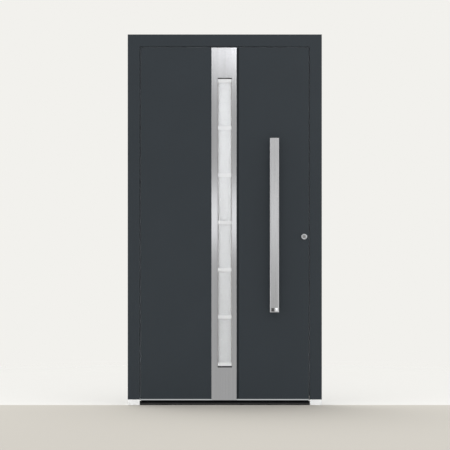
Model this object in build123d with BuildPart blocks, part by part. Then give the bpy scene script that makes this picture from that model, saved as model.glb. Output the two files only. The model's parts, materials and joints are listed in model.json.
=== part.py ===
from build123d import *
import os

# Aluminium entrance door: a thermally broken frame with a low threshold, and a flush
# leaf that opens into the room, with a steel strip, a tall glazed slot and a pull bar.
# X runs to the right seen from outside, Y into the room and Z up.
# The origin is the middle of the threshold's underside, at half the frame's depth.

os.makedirs("parts", exist_ok=True)

# Frame profiles
frame_width = 1100.0
frame_height = 2100.0
frame_depth = 80.0
frame_face = 68.0
frame_rebate = 46.0
lip_depth = 15.0
shell_depth = 28.0
profile_wall = 2.2
edge_radius = 1.5
foot_height = 31.0

# Fixing holes through the thermal break of each jamb, evenly spaced between the margins
fixing_diameter = 8.0
fixing_margin = 180.0
fixing_count = 4

# Threshold
threshold_height = 20.0
threshold_setback = 2.0
threshold_nose = 3.0
insert_bottom = 5.0
insert_height = 7.0
insert_depth = 5.0
channel_middle = -6.0
channel_width = 10.0
channel_depth = 4.0
ramp_width = 22.0
ramp_end_height = 7.0

# Weather seals
gasket_height = 7.0
gasket_width = 9.0
gasket_inset = 5.0
gasket_bevel = 3.0
gasket_clearance = 5.0
gasket_foot_width = 4.0
gasket_foot_depth = 4.0
gasket_foot_clearance = 0.1
seal_pad_width = 6.0
seal_pad_bottom = 34.0
seal_pad_height = 17.0
seal_pad_thickness = 6.0

# Leaf
leaf_gap = 6.5
flange_gap = 8.0
bottom_gap = 7.0
drip_height = 7.0
skin = 2.0
stile_width = 62.5
rail_width = 62.5
bottom_seal_width = 12.0
bottom_seal_height = 2.0
bottom_seal_spacing = 36.0

# Steel strip and the shadow groove pressed beside it
strip_width = 142.5
strip_middle = -4.25
strip_thickness = 3.0
strip_edge = 0.8
groove_width = 13.0
groove_depth = 11.0

# Glazed slot
slot_width = 80.0
slot_bottom_margin = 186.0
slot_top_margin = 172.0
gasket_ring_width = 4.0
field_bottom_gap = 8.0
field_top_gap = 6.0
field_width = 72.0
field_thickness = 0.5
band_count = 7
band_height = 20.0
band_thickness = 4.0
band_side_gap = 1.0
pane_cover = 20.0
outer_pane = 6.0
middle_pane = 4.0
inner_pane = 6.0
spacer_depth = 14.0
spacer_width = 12.0
unit_clearance = 2.0
bead_flange_cover = 12.0
bead_flange_thickness = 3.0
bead_clearance = 0.5
bead_edge = 1.5

# Pull bar
pull_inset = 195.0
pull_bottom = 527.5
pull_length = 984.0
pull_width = 51.0
pull_depth = 26.0
pull_bevel = 6.0
pull_back_radius = 7.0
pull_wall = 2.5
pull_reach = 40.0
pull_foot_length = 29.0
pull_top_length = 8.0
foot_recess_height = 20.0
foot_recess_radius = 1.5
foot_window_width = 16.0
foot_window_depth = 3.0
foot_window_shift = -10.0
foot_plate_width = 14.0
foot_plate_depth = 1.0
foot_plate_shift = 11.5
standoff_inset = 165.0
standoff_diameter = 22.0
standoff_rose_diameter = 34.0
standoff_rose_thickness = 4.0

# Lock cylinder with its roses, and the key plug that turns in it
lock_backset = 46.0
lock_z = 954.0
cylinder_diameter = 17.0
cylinder_flag_width = 10.0
cylinder_height = 33.0
cylinder_stand = 1.0
cylinder_clearance = 0.5
plug_diameter = 10.0
plug_length = 30.0
plug_running_clearance = 0.05
plug_end_clearance = 0.5
keyway_width = 2.4
keyway_height = 7.5
keyway_depth = 22.0
outer_rose_diameter = 36.0
outer_rose_thickness = 9.0
outer_rose_bevel = 4.0
inner_rose_diameter = 52.0
inner_rose_thickness = 8.0

# Lever inside, above the cylinder
lever_rise = 92.0
lever_diameter = 19.0
lever_stand = 50.0
lever_length = 128.0
lever_end_bevel = 3.0

# Lock edge: face plate, bolts drawn back, and the plates that receive them
faceplate_width = 22.0
faceplate_middle = 25.0
faceplate_margin = 124.0
faceplate_thickness = 3.0
bolt_depth = 20.0
bolt_clearance = 0.5
bolt_setback = 0.2
bolt_width = 12.0
hook_length = 60.0
dead_bolt_length = 42.0
latch_length = 32.0
hook_inset = 150.0
strike_thickness = 2.0
strike_margin = 24.0
strike_window_clearance = 3.0

# Barrel hinges on the room side
hinge_count = 3
hinge_bottom_margin = 223.0
hinge_top_margin = 195.5
hinge_overhang = 4.0
hinge_stand = 16.0
barrel_diameter = 20.0
leaf_knuckle = 48.0
frame_knuckle = 30.0
knuckle_gap = 1.0
pin_diameter = 12.0
pin_running_clearance = 0.05
pin_head = 4.0
wing_width = 36.0
wing_thickness = 5.0
wing_offset = 11.0
wing_corner = 4.0
web_thickness = 12.0

# Depths and reaches that follow from the sizes above
front_y = -frame_depth / 2
back_y = frame_depth / 2
lip_back_y = front_y + lip_depth
break_front_y = front_y + shell_depth
break_back_y = back_y - shell_depth
half_width = frame_width / 2
lip_x = half_width - frame_face
rebate_x = half_width - frame_rebate
lip_z = frame_height - frame_face
rebate_z = frame_height - frame_rebate
flange_y = lip_back_y + gasket_height + gasket_clearance
leaf_x = lip_x - leaf_gap
leaf_top = lip_z - leaf_gap
flange_x = rebate_x - flange_gap
flange_top = rebate_z - flange_gap
leaf_bottom = threshold_height + bottom_gap
panel_bottom = leaf_bottom + drip_height
stile_x = flange_x - stile_width
top_rail_z = flange_top - rail_width
bottom_rail_z = panel_bottom + rail_width
skin_front_y = front_y + skin
skin_back_y = back_y - skin
strip_left = strip_middle - strip_width / 2
strip_right = strip_middle + strip_width / 2
groove_right = strip_right + groove_width
groove_floor_y = front_y + groove_depth
slot_bottom = leaf_bottom + slot_bottom_margin
slot_top = leaf_top - slot_top_margin
field_bottom = slot_bottom + field_bottom_gap
field_top = slot_top - field_top_gap
pull_x = leaf_x - pull_inset
lock_x = flange_x - lock_backset
lever_z = lock_z + lever_rise
faceplate_bottom = leaf_bottom + faceplate_margin
faceplate_top = leaf_top - faceplate_margin
low_hook_z = faceplate_bottom + hook_inset
high_hook_z = faceplate_top - hook_inset
bolt_places = (
    (low_hook_z, hook_length),
    (lock_z, dead_bolt_length),
    (lever_z, latch_length),
    (high_hook_z, hook_length),
)
strike_spans = ((low_hook_z, low_hook_z), (lock_z, lever_z), (high_hook_z, high_hook_z))
hinge_axis_x = -flange_x - hinge_overhang
hinge_low = leaf_bottom + hinge_bottom_margin
hinge_high = leaf_top - hinge_top_margin
hinge_pitch = (hinge_high - hinge_low) / (hinge_count - 1)
hinge_heights = [hinge_low + step * hinge_pitch for step in range(hinge_count)]
fixing_pitch = (frame_height - 2 * fixing_margin) / (fixing_count - 1)
sides = (("hinge", -1), ("lock", 1))


def at_depth(y):
    """Upright plane at depth y, with its normal pointing outside."""
    return Plane.XZ.offset(-y)


def span(left, right, low, high, mode=Mode.ADD):
    """Rectangle between two edges across and two edges up."""
    with Locations(((left + right) / 2, (low + high) / 2)):
        Rectangle(right - left, high - low, mode=mode)


def mitre_plane(side, x, z):
    """Plane of a 45 degree mitre through the upper corner at x, z on one side."""
    return Plane(origin=(side * x, 0, z), z_dir=(-side, 0, 1))


def cylinder_section(clearance):
    """Profile of the lock cylinder about its plug axis, grown by a clearance."""
    radius = cylinder_diameter / 2 + clearance
    flag = cylinder_flag_width / 2 + clearance
    flag_low = cylinder_height - cylinder_diameter / 2 + clearance
    with Locations((lock_x, lock_z)):
        Circle(radius)
    span(lock_x - flag, lock_x + flag, lock_z - flag_low + flag, lock_z)
    with Locations((lock_x, lock_z - flag_low + flag)):
        Circle(flag)


def save(part, label):
    """Give a finished piece its name and write it."""
    part.label = label
    export_step(part, f"parts/{label}.step")


# Frame profiles as outlines of (distance in from the frame's edge, depth)
gasket_line = frame_face - gasket_inset - gasket_width / 2
groove_near = gasket_line + gasket_foot_width / 2 + gasket_foot_clearance
groove_far = gasket_line - gasket_foot_width / 2 - gasket_foot_clearance
foot_groove_y = lip_back_y - gasket_foot_depth - gasket_foot_clearance
outer_shell_outline = (
    (0, front_y),
    (frame_face, front_y),
    (frame_face, lip_back_y),
    (groove_near, lip_back_y),
    (groove_near, foot_groove_y),
    (groove_far, foot_groove_y),
    (groove_far, lip_back_y),
    (frame_rebate, lip_back_y),
    (frame_rebate, break_front_y),
    (0, break_front_y),
)
thermal_break_outline = (
    (0, break_front_y),
    (frame_rebate, break_front_y),
    (frame_rebate, break_back_y),
    (0, break_back_y),
)
inner_shell_outline = (
    (0, break_back_y),
    (frame_rebate, break_back_y),
    (frame_rebate, back_y),
    (0, back_y),
)
frame_outlines = {
    "outer_shell": outer_shell_outline,
    "thermal_break": thermal_break_outline,
    "inner_shell": inner_shell_outline,
}

# Which end of the depth carries each aluminium profile's visible face, with rounded edges
face_edge = {"outer_shell": 0, "inner_shell": -1}

# Jambs: mitred lengths of each profile, the aluminium ones hollow
for side_name, side in sides:
    for profile_name, outline in frame_outlines.items():
        with BuildPart() as jamb:
            with BuildSketch(Plane.XY.offset(foot_height)) as jamb_section:
                with BuildLine():
                    Polyline(*[(side * (half_width - inset), y) for inset, y in outline], close=True)
                make_face()
                if profile_name != "thermal_break":
                    face_corners = jamb_section.vertices().group_by(Axis.Y)[face_edge[profile_name]]
                    fillet(face_corners, radius=edge_radius)
                    offset(amount=-profile_wall, kind=Kind.INTERSECTION, mode=Mode.SUBTRACT)
            extrude(amount=frame_height - foot_height)
            split(bisect_by=mitre_plane(side, half_width, frame_height), keep=Keep.BOTTOM)
            if profile_name == "thermal_break":
                with BuildSketch(Plane.YZ.offset(side * rebate_x)):
                    with Locations((0, frame_height / 2)):
                        with GridLocations(0, fixing_pitch, 1, fixing_count):
                            Circle(fixing_diameter / 2)
                extrude(amount=side * frame_rebate, mode=Mode.SUBTRACT)
            if profile_name == "inner_shell" and side_name == "lock":
                with BuildSketch(Plane.YZ.offset(rebate_x)):
                    for z, length in bolt_places:
                        with Locations((faceplate_middle, z)):
                            Rectangle(bolt_width + strike_window_clearance, length + strike_window_clearance)
                extrude(amount=profile_wall, mode=Mode.SUBTRACT)
        save(jamb.part, f"{side_name}_jamb_{profile_name}")

# Head: the same profiles, mitred at both ends
for profile_name, outline in frame_outlines.items():
    with BuildPart() as head:
        with BuildSketch(Plane.YZ) as head_section:
            with BuildLine():
                Polyline(*[(y, frame_height - inset) for inset, y in outline], close=True)
            make_face()
            if profile_name != "thermal_break":
                fillet(head_section.vertices().group_by(Axis.X)[face_edge[profile_name]], radius=edge_radius)
                offset(amount=-profile_wall, kind=Kind.INTERSECTION, mode=Mode.SUBTRACT)
        extrude(amount=half_width, both=True)
        for side_name, side in sides:
            split(bisect_by=mitre_plane(side, half_width, frame_height), keep=Keep.TOP)
    save(head.part, f"head_{profile_name}")

# Moulded feet that carry the jambs
for side_name, side in sides:
    with BuildPart() as foot:
        with BuildSketch() as foot_plan:
            with BuildLine():
                Polyline(
                    (side * half_width, front_y),
                    (side * lip_x, front_y),
                    (side * lip_x, lip_back_y),
                    (side * rebate_x, lip_back_y),
                    (side * rebate_x, back_y),
                    (side * half_width, back_y),
                    close=True,
                )
            make_face()
        extrude(amount=foot_height)
    save(foot.part, f"{side_name}_jamb_foot")

# Threshold: one section with a slot for the front insert, a rain channel and a ramp
with BuildPart() as threshold:
    nose_y = front_y + threshold_setback
    slot_y = front_y + insert_depth
    insert_top = insert_bottom + insert_height
    channel_left = channel_middle - channel_width / 2
    channel_right = channel_middle + channel_width / 2
    with BuildSketch(Plane.YZ):
        with BuildLine():
            Polyline(
                (nose_y, 0),
                (nose_y, insert_bottom),
                (slot_y, insert_bottom),
                (slot_y, insert_top),
                (nose_y, insert_top),
                (nose_y, threshold_height - threshold_nose),
                (nose_y + threshold_nose, threshold_height),
                (channel_left, threshold_height),
                (channel_left, threshold_height - channel_depth),
                (channel_right, threshold_height - channel_depth),
                (channel_right, threshold_height),
                (back_y - ramp_width, threshold_height),
                (back_y, ramp_end_height),
                (back_y, 0),
                close=True,
            )
        make_face()
    extrude(amount=rebate_x, both=True)
    with BuildSketch():
        for side_name, side in sides:
            span(*sorted((side * lip_x, side * rebate_x)), front_y, lip_back_y)
    extrude(amount=threshold_height, mode=Mode.SUBTRACT)
save(threshold.part, "threshold")

# Rounded insert along the front of the threshold
with BuildPart() as threshold_insert:
    with BuildSketch(at_depth(front_y + insert_depth)):
        span(-lip_x, lip_x, insert_bottom, insert_top)
    extrude(amount=insert_depth)
    fillet(
        threshold_insert.faces().sort_by(Axis.Y)[0].edges().filter_by(Axis.X),
        radius=threshold_setback,
    )
save(threshold_insert.part, "threshold_insert")

# Seal round the back of the frame's lip
with BuildPart() as frame_gasket:
    gasket_x = lip_x + gasket_inset
    gasket_z = lip_z + gasket_inset
    with BuildSketch(at_depth(lip_back_y + gasket_height)):
        span(-gasket_x - gasket_width, gasket_x + gasket_width, foot_height, gasket_z + gasket_width)
        span(-gasket_x, gasket_x, foot_height, gasket_z, mode=Mode.SUBTRACT)
    extrude(amount=gasket_height)
    gasket_back = frame_gasket.faces().sort_by(Axis.Y)[-1]
    gasket_top_edge = gasket_back.edges().filter_by(Axis.X).group_by(Axis.Z)[-1]
    chamfer(gasket_back.edges().filter_by(Axis.Z) + gasket_top_edge, length=gasket_bevel)
    gasket_side = (gasket_width - gasket_foot_width) / 2
    foot_x = gasket_x + gasket_side
    foot_z = gasket_z + gasket_side
    with BuildSketch(at_depth(lip_back_y)):
        span(-foot_x - gasket_foot_width, foot_x + gasket_foot_width, foot_height, foot_z + gasket_foot_width)
        span(-foot_x, foot_x, foot_height, foot_z, mode=Mode.SUBTRACT)
    extrude(amount=gasket_foot_depth)
save(frame_gasket.part, "frame_gasket")

# Plates on the lock jamb, with a window for each bolt
with BuildPart() as strike_plates:
    with BuildSketch(Plane.YZ.offset(rebate_x)):
        for low, high in strike_spans:
            with Locations((faceplate_middle, (low + high) / 2)):
                strike_height = high - low + hook_length + 2 * strike_margin
                Rectangle(faceplate_width, strike_height)
        for z, length in bolt_places:
            with Locations((faceplate_middle, z)):
                Rectangle(
                    bolt_width + strike_window_clearance,
                    length + strike_window_clearance,
                    mode=Mode.SUBTRACT,
                )
    extrude(amount=-strike_thickness)
save(strike_plates.part, "strike_plates")

# Leaf stiles, stepped in section, mitred at the top
stile_step = flange_x - leaf_x + skin
stile_outline = (
    (0, flange_y),
    (0, skin_back_y),
    (stile_width, skin_back_y),
    (stile_width, skin_front_y),
    (stile_step, skin_front_y),
    (stile_step, flange_y),
)
for side_name, side in sides:
    with BuildPart() as stile:
        with BuildSketch(Plane.XY.offset(panel_bottom)):
            with BuildLine():
                Polyline(*[(side * (flange_x - inset), y) for inset, y in stile_outline], close=True)
            make_face()
        extrude(amount=flange_top - panel_bottom)
        split(bisect_by=mitre_plane(side, flange_x, flange_top), keep=Keep.BOTTOM)
        if side_name == "lock":
            with BuildSketch(Plane.YZ.offset(flange_x)):
                span(
                    faceplate_middle - faceplate_width / 2,
                    faceplate_middle + faceplate_width / 2,
                    faceplate_bottom,
                    faceplate_top,
                )
            extrude(amount=-faceplate_thickness, mode=Mode.SUBTRACT)
            with BuildSketch(Plane.YZ.offset(flange_x)):
                for z, length in bolt_places:
                    with Locations((faceplate_middle, z)):
                        Rectangle(bolt_width + 2 * bolt_clearance, length + 2 * bolt_clearance)
            extrude(amount=-bolt_depth, mode=Mode.SUBTRACT)
            with BuildSketch(at_depth(skin_back_y)):
                cylinder_section(cylinder_clearance)
            extrude(amount=skin_back_y - skin_front_y, mode=Mode.SUBTRACT)
    save(stile.part, f"leaf_{side_name}_stile")

# Rails: the top one has the stile's stepped section, the bottom one is plain
with BuildPart() as top_rail:
    with BuildSketch(Plane.YZ):
        with BuildLine():
            Polyline(*[(y, flange_top - inset) for inset, y in stile_outline], close=True)
        make_face()
    extrude(amount=flange_x, both=True)
    for side_name, side in sides:
        split(bisect_by=mitre_plane(side, flange_x, flange_top), keep=Keep.TOP)
    with BuildSketch(at_depth(groove_floor_y + skin)):
        span(strip_right - skin, groove_right + skin, top_rail_z, leaf_top)
    extrude(amount=groove_depth, mode=Mode.SUBTRACT)
save(top_rail.part, "leaf_top_rail")

with BuildPart() as bottom_rail:
    with BuildSketch(at_depth(skin_back_y)):
        span(-stile_x, stile_x, panel_bottom, bottom_rail_z)
    extrude(amount=skin_back_y - skin_front_y)
    with BuildSketch(at_depth(groove_floor_y + skin)):
        span(strip_right - skin, groove_right + skin, panel_bottom, bottom_rail_z)
    extrude(amount=groove_depth, mode=Mode.SUBTRACT)
save(bottom_rail.part, "leaf_bottom_rail")

# Glazed unit: pane edges and the depths of its layers
pane_x = slot_width / 2 + pane_cover
pane_bottom = slot_bottom - pane_cover
pane_top = slot_top + pane_cover
outer_pane_back = skin_front_y + outer_pane
middle_pane_front = outer_pane_back + spacer_depth
middle_pane_back = middle_pane_front + middle_pane
inner_pane_front = middle_pane_back + spacer_depth
inner_pane_back = inner_pane_front + inner_pane

# Insulation between the skins, open for the glazed unit and the pressed groove
with BuildPart() as insulation_core:
    with BuildSketch(at_depth(skin_back_y)):
        span(-stile_x, stile_x, bottom_rail_z, top_rail_z)
        span(
            -pane_x - unit_clearance,
            pane_x + unit_clearance,
            pane_bottom - unit_clearance,
            pane_top + unit_clearance,
            mode=Mode.SUBTRACT,
        )
    extrude(amount=skin_back_y - skin_front_y)
    with BuildSketch(at_depth(groove_floor_y + skin)):
        span(strip_right - skin, groove_right + skin, bottom_rail_z, top_rail_z)
    extrude(amount=groove_depth, mode=Mode.SUBTRACT)
save(insulation_core.part, "insulation_core")

# Outer skin: a folded tray with the shadow groove pressed into it
with BuildPart() as outer_skin:
    with BuildSketch(at_depth(flange_y)):
        span(-leaf_x, leaf_x, panel_bottom, leaf_top)
    extrude(amount=flange_y - front_y)
    with BuildSketch(at_depth(flange_y)):
        span(-leaf_x + skin, leaf_x - skin, panel_bottom, leaf_top - skin)
    extrude(amount=flange_y - skin_front_y, mode=Mode.SUBTRACT)
    with BuildSketch(at_depth(groove_floor_y + skin)):
        span(strip_right - skin, groove_right + skin, panel_bottom, leaf_top)
    extrude(amount=groove_depth + skin)
    with BuildSketch(at_depth(groove_floor_y)):
        span(strip_right, groove_right, panel_bottom, leaf_top)
    extrude(amount=groove_depth, mode=Mode.SUBTRACT)
    with BuildSketch(at_depth(skin_front_y)):
        span(
            -slot_width / 2 - gasket_ring_width,
            slot_width / 2 + gasket_ring_width,
            slot_bottom - gasket_ring_width,
            slot_top + gasket_ring_width,
        )
        with Locations((lock_x, lock_z)):
            Circle(cylinder_diameter / 2 + cylinder_clearance)
    extrude(amount=skin, mode=Mode.SUBTRACT)
save(outer_skin.part, "outer_skin")

# Steel strip over the whole height of the leaf, with the glazed slot cut out
with BuildPart() as steel_strip:
    with BuildSketch(at_depth(front_y)):
        span(strip_left, strip_right, leaf_bottom, leaf_top)
        span(-slot_width / 2, slot_width / 2, slot_bottom, slot_top, mode=Mode.SUBTRACT)
    extrude(amount=strip_thickness)
    chamfer(steel_strip.faces().sort_by(Axis.Y)[0].outer_wire().edges(), length=strip_edge)
save(steel_strip.part, "steel_strip")

# Black seal between the skin's slot and the outer pane
with BuildPart() as glazing_gasket:
    with BuildSketch(at_depth(skin_front_y)):
        span(
            -slot_width / 2 - gasket_ring_width,
            slot_width / 2 + gasket_ring_width,
            slot_bottom - gasket_ring_width,
            slot_top + gasket_ring_width,
        )
        span(-slot_width / 2, slot_width / 2, field_bottom, field_top, mode=Mode.SUBTRACT)
    extrude(amount=skin)
save(glazing_gasket.part, "glazing_gasket")

# Three panes
pane_layers = {
    "outer_pane": (skin_front_y, outer_pane_back),
    "middle_pane": (middle_pane_front, middle_pane_back),
    "inner_pane": (inner_pane_front, inner_pane_back),
}
for pane_name, (pane_front, pane_back) in pane_layers.items():
    with BuildPart() as pane:
        with BuildSketch(at_depth(pane_back)):
            span(-pane_x, pane_x, pane_bottom, pane_top)
        extrude(amount=pane_back - pane_front)
    save(pane.part, pane_name)

# Spacer frames between the panes, set so that their inner edges line the frosted field
with BuildPart() as glass_spacers:
    for spacer_back in (middle_pane_front, inner_pane_front):
        with BuildSketch(at_depth(spacer_back)):
            spacer_x = field_width / 2 + spacer_width
            span(-spacer_x, spacer_x, field_bottom - spacer_width, field_top + spacer_width)
            span(-field_width / 2, field_width / 2, field_bottom, field_top, mode=Mode.SUBTRACT)
        extrude(amount=spacer_depth)
save(glass_spacers.part, "glass_spacers")

# Frosted field on the back of the outer pane
with BuildPart() as frosted_field:
    with BuildSketch(at_depth(outer_pane_back + field_thickness)):
        span(-field_width / 2, field_width / 2, field_bottom, field_top)
    extrude(amount=field_thickness)
save(frosted_field.part, "frosted_field")

# Bright bands across the glass, evenly spaced from end to end of the field
with BuildPart() as glass_bands:
    band_pitch = (field_top - field_bottom - band_height) / (band_count - 1)
    with BuildSketch(at_depth(skin_front_y)):
        with Locations((0, (field_bottom + field_top) / 2)):
            with GridLocations(0, band_pitch, 1, band_count):
                Rectangle(slot_width - 2 * band_side_gap, band_height)
    extrude(amount=band_thickness)
save(glass_bands.part, "glass_bands")

# Glazing bead frame on the room side, with a flange that covers the cut in the skin
with BuildPart() as glazing_bead:
    with BuildSketch(at_depth(back_y)):
        span(-pane_x, pane_x, pane_bottom, pane_top)
        span(-slot_width / 2, slot_width / 2, slot_bottom, slot_top, mode=Mode.SUBTRACT)
    extrude(amount=back_y - inner_pane_back)
    with BuildSketch(at_depth(back_y + bead_flange_thickness)):
        span(
            -pane_x - bead_flange_cover,
            pane_x + bead_flange_cover,
            pane_bottom - bead_flange_cover,
            pane_top + bead_flange_cover,
        )
        span(-slot_width / 2, slot_width / 2, slot_bottom, slot_top, mode=Mode.SUBTRACT)
    extrude(amount=bead_flange_thickness)
    chamfer(glazing_bead.faces().sort_by(Axis.Y)[-1].outer_wire().edges(), length=bead_edge)
save(glazing_bead.part, "glazing_bead")

# Inner skin, cut for the bead frame and the cylinder
with BuildPart() as inner_skin:
    with BuildSketch(at_depth(back_y)):
        span(-flange_x, flange_x, panel_bottom, flange_top)
        span(
            -pane_x - bead_clearance,
            pane_x + bead_clearance,
            pane_bottom - bead_clearance,
            pane_top + bead_clearance,
            mode=Mode.SUBTRACT,
        )
    extrude(amount=skin)
    with BuildSketch(at_depth(back_y)):
        cylinder_section(cylinder_clearance)
    extrude(amount=skin, mode=Mode.SUBTRACT)
save(inner_skin.part, "inner_skin")

# Bare aluminium profile along the bottom of the leaf
with BuildPart() as drip_profile:
    with BuildSketch(Plane.XY.offset(leaf_bottom)):
        span(-leaf_x, leaf_x, front_y, flange_y)
        span(-flange_x, flange_x, flange_y, back_y)
    extrude(amount=drip_height)
save(drip_profile.part, "drip_profile")

# Two sealing lips under it
with BuildPart() as bottom_seal:
    with BuildSketch(Plane.XY.offset(leaf_bottom)):
        with GridLocations(0, bottom_seal_spacing, 1, 2):
            Rectangle(2 * leaf_x, bottom_seal_width)
    extrude(amount=-bottom_seal_height)
save(bottom_seal.part, "bottom_seal")

# Small pad at the foot of the lock side that closes the corner behind the gap
with BuildPart() as corner_seal_pad:
    with BuildSketch(at_depth(flange_y)):
        span(leaf_x, leaf_x + seal_pad_width, seal_pad_bottom, seal_pad_bottom + seal_pad_height)
    extrude(amount=seal_pad_thickness)
save(corner_seal_pad.part, "corner_seal_pad")

# Pull bar: a bevelled tube with a top cap, and a foot recessed for a window and a plate
pull_back_y = front_y - pull_reach
pull_front_y = pull_back_y - pull_depth
pull_top = pull_bottom + pull_length
tube_bottom = pull_bottom + pull_foot_length
tube_top = pull_top - pull_top_length
foot_recesses = (
    (foot_window_shift, foot_window_width, foot_window_depth),
    (foot_plate_shift, foot_plate_width, foot_plate_depth),
)


def pull_section():
    """Bar outline, bevelled in front and rounded behind."""
    with BuildSketch(mode=Mode.PRIVATE) as section:
        with Locations((pull_x, (pull_back_y + pull_front_y) / 2)):
            Rectangle(pull_width, pull_depth)
        chamfer(section.vertices().group_by(Axis.Y)[0], length=pull_bevel)
        fillet(section.vertices().group_by(Axis.Y)[-1], radius=pull_back_radius)
    return section.sketch


with BuildPart() as pull_bar:
    with BuildSketch(Plane.XY.offset(tube_bottom)):
        add(pull_section())
        offset(amount=-pull_wall, kind=Kind.INTERSECTION, mode=Mode.SUBTRACT)
    extrude(amount=tube_top - tube_bottom)
save(pull_bar.part, "pull_bar")

with BuildPart() as pull_top_cap:
    with BuildSketch(Plane.XY.offset(tube_top)):
        add(pull_section())
    extrude(amount=pull_top_length)
save(pull_top_cap.part, "pull_top_cap")

with BuildPart() as pull_foot:
    with BuildSketch(Plane.XY.offset(pull_bottom)):
        add(pull_section())
    extrude(amount=pull_foot_length)
    foot_middle = pull_bottom + pull_foot_length / 2
    for shift, width, depth in foot_recesses:
        with BuildSketch(at_depth(pull_front_y)):
            with Locations((pull_x + shift, foot_middle)):
                RectangleRounded(width, foot_recess_height, foot_recess_radius)
        extrude(amount=-depth, mode=Mode.SUBTRACT)
save(pull_foot.part, "pull_foot")

with BuildPart() as pull_standoffs:
    standoff_heights = (pull_bottom + standoff_inset, pull_top - standoff_inset)
    with BuildSketch(at_depth(front_y)):
        with Locations(*[(pull_x, z) for z in standoff_heights]):
            Circle(standoff_rose_diameter / 2)
    extrude(amount=standoff_rose_thickness)
    with BuildSketch(at_depth(front_y)):
        with Locations(*[(pull_x, z) for z in standoff_heights]):
            Circle(standoff_diameter / 2)
    extrude(amount=pull_reach)
save(pull_standoffs.part, "pull_standoffs")

# Lock cylinder through the leaf, bored for the key plug outside, slotted inside
outer_rose_y = front_y - outer_rose_thickness
inner_rose_y = back_y + inner_rose_thickness
cylinder_front_y = outer_rose_y - cylinder_stand
cylinder_back_y = inner_rose_y + cylinder_stand
flag_front_y = skin_front_y + cylinder_clearance
with BuildPart() as lock_cylinder:
    with BuildSketch(at_depth(cylinder_back_y)):
        cylinder_section(0)
    extrude(amount=cylinder_back_y - flag_front_y)
    with BuildSketch(at_depth(cylinder_back_y)):
        with Locations((lock_x, lock_z)):
            Circle(cylinder_diameter / 2)
    extrude(amount=cylinder_back_y - cylinder_front_y)
    with BuildSketch(at_depth(cylinder_front_y)):
        with Locations((lock_x, lock_z)):
            Circle(plug_diameter / 2)
    extrude(amount=-plug_length, mode=Mode.SUBTRACT)
    with BuildSketch(at_depth(cylinder_back_y)):
        with Locations((lock_x, lock_z)):
            Rectangle(keyway_width, keyway_height)
    extrude(amount=keyway_depth, mode=Mode.SUBTRACT)
save(lock_cylinder.part, "lock_cylinder")

with BuildPart() as key_plug:
    with BuildSketch(at_depth(cylinder_front_y)):
        with Locations((lock_x, lock_z)):
            Circle(plug_diameter / 2 - plug_running_clearance)
    extrude(amount=-(plug_length - plug_end_clearance))
    with BuildSketch(at_depth(cylinder_front_y)):
        with Locations((lock_x, lock_z)):
            Rectangle(keyway_width, keyway_height)
    extrude(amount=-keyway_depth, mode=Mode.SUBTRACT)
save(key_plug.part, "key_plug")

# Bevelled rose outside round the cylinder's front
with BuildPart() as outer_rose:
    with BuildSketch(at_depth(front_y)):
        with Locations((lock_x, lock_z)):
            Circle(outer_rose_diameter / 2)
    extrude(amount=outer_rose_thickness)
    chamfer(outer_rose.faces().sort_by(Axis.Y)[0].edges(), length=outer_rose_bevel)
    with BuildSketch(at_depth(front_y)):
        with Locations((lock_x, lock_z)):
            Circle(cylinder_diameter / 2 + cylinder_clearance)
    extrude(amount=outer_rose_thickness, mode=Mode.SUBTRACT)
save(outer_rose.part, "outer_rose")

# Rose inside round the cylinder
with BuildPart() as inner_rose:
    with BuildSketch(at_depth(inner_rose_y)):
        with Locations((lock_x, lock_z - (cylinder_height - cylinder_diameter) / 2)):
            Circle(inner_rose_diameter / 2)
    extrude(amount=inner_rose_thickness)
    with BuildSketch(at_depth(inner_rose_y)):
        cylinder_section(cylinder_clearance)
    extrude(amount=inner_rose_thickness, mode=Mode.SUBTRACT)
save(inner_rose.part, "inner_rose")

# Lever inside on its rose: a round bar, mitred, pointing to the hinges
with BuildPart() as lever_rose:
    with BuildSketch(at_depth(inner_rose_y)):
        with Locations((lock_x, lever_z)):
            Circle(inner_rose_diameter / 2)
    extrude(amount=inner_rose_thickness)
save(lever_rose.part, "lever_rose")

with BuildPart() as inside_lever:
    lever_y = back_y + lever_stand
    with BuildLine():
        Polyline(
            (lock_x, inner_rose_y, lever_z),
            (lock_x, lever_y, lever_z),
            (lock_x - lever_length, lever_y, lever_z),
        )
    with BuildSketch(Plane(origin=(lock_x, inner_rose_y, lever_z), z_dir=(0, 1, 0))):
        Circle(lever_diameter / 2)
    sweep(transition=Transition.RIGHT)
    chamfer(inside_lever.faces().sort_by(Axis.X)[0].edges(), length=lever_end_bevel)
save(inside_lever.part, "inside_lever")

# Face plate let into the lock stile, and the bolts drawn back in it
with BuildPart() as lock_faceplate:
    with BuildSketch(Plane.YZ.offset(flange_x)):
        span(
            faceplate_middle - faceplate_width / 2,
            faceplate_middle + faceplate_width / 2,
            faceplate_bottom,
            faceplate_top,
        )
        for z, length in bolt_places:
            with Locations((faceplate_middle, z)):
                Rectangle(
                    bolt_width + 2 * bolt_clearance,
                    length + 2 * bolt_clearance,
                    mode=Mode.SUBTRACT,
                )
    extrude(amount=-faceplate_thickness)
save(lock_faceplate.part, "lock_faceplate")

with BuildPart() as lock_bolts:
    with BuildSketch(Plane.YZ.offset(flange_x - bolt_setback)):
        for z, length in bolt_places:
            with Locations((faceplate_middle, z)):
                Rectangle(bolt_width, length)
    extrude(amount=-(bolt_depth - bolt_setback))
save(lock_bolts.part, "lock_bolts")

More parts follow.
